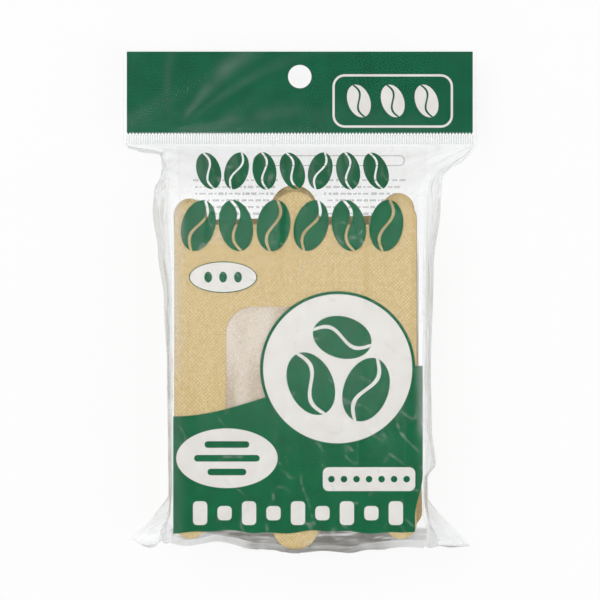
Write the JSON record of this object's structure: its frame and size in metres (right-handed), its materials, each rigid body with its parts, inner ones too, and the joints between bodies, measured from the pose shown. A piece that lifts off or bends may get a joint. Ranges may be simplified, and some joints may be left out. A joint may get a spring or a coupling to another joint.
{
  "type": "hang pack of coffee drippers",
  "caption": "Clear film hang bag with a green header strip, holding a stack of flat card drip-coffee holders with white filters.",
  "frame": {"origin": "under the middle of the pack as it lies on its back", "axes": "+Z out of the printed front, +Y towards the header, +X to the right of the front"},
  "size_m": [0.12, 0.17, 0.0326],
  "materials": {
    "clear_film": "gloss",
    "header_film": "gloss",
    "white_ink": "gloss",
    "green_ink": "gloss",
    "card": "matte"
  },
  "bodies": {
    "root": {"bag_film": "clear_film", "header_strip": "header_film", "front_print_white": "white_ink", "front_print_green": "green_ink", "dripper_01": "card", "dripper_02": "card", "dripper_03": "card", "dripper_04": "card", "dripper_05": "card", "dripper_06": "card", "dripper_07": "card", "dripper_08": "card", "dripper_09": "card", "dripper_10": "card", "dripper_11": "card", "dripper_12": "card", "dripper_13": "card", "dripper_14": "card", "dripper_15": "card", "dripper_16": "card", "dripper_17": "card", "dripper_18": "card", "dripper_19": "card", "dripper_20": "card", "dripper_21": "card", "dripper_22": "card", "dripper_23": "card", "dripper_24": "card", "dripper_25": "card", "dripper_26": "card", "dripper_27": "card", "dripper_28": "card", "dripper_29": "card", "dripper_30": "card", "dripper_31": "card", "dripper_32": "card", "dripper_33": "card", "dripper_34": "card", "dripper_35": "card", "dripper_36": "card", "dripper_37": "card", "dripper_38": "card", "dripper_39": "card", "dripper_40": "card", "dripper_41": "card", "dripper_42": "card", "dripper_43": "card", "dripper_44": "card", "dripper_45": "card", "dripper_46": "card", "dripper_47": "card", "dripper_48": "card", "dripper_49": "card", "dripper_50": "card"}
  },
  "joints": []
}
